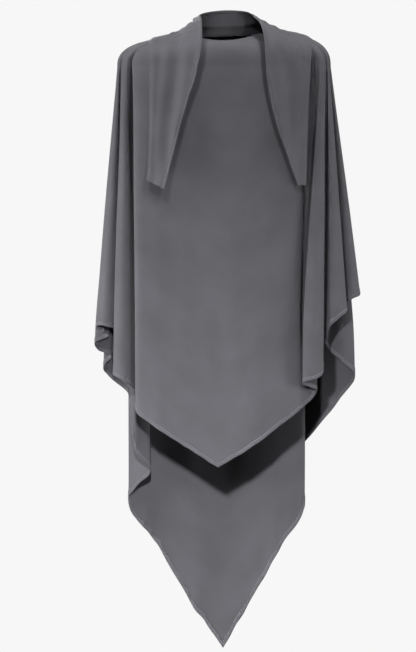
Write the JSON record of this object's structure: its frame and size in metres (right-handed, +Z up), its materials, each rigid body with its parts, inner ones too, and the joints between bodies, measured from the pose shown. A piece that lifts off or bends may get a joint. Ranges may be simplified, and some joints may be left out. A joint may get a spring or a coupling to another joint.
{
  "type": "khimar veil",
  "caption": "Long plain khimar veil hanging as worn: pointed front and longer pointed back, side folds, neck opening with a standing band that runs into wide front ties.",
  "frame": {"origin": "middle of the neck opening, at the height of the shoulders beside the neck", "axes": "+Z up, the front of the veil faces -Y, +X is to the right seen from the front"},
  "size_m": [0.6127, 0.2689, 1.4728],
  "materials": {
    "veil_cloth": "matte dark grey crepe",
    "hem_cloth": "matte dark grey crepe, rolled and stitched"
  },
  "bodies": {
    "root": {"front_panel": "veil_cloth", "back_panel": "veil_cloth", "front_hem": "hem_cloth", "back_hem": "hem_cloth", "neck_band": "veil_cloth", "neck_band_hem": "hem_cloth", "left_tie": "veil_cloth", "left_tie_hem": "hem_cloth", "right_tie": "veil_cloth", "right_tie_hem": "hem_cloth"}
  },
  "joints": []
}
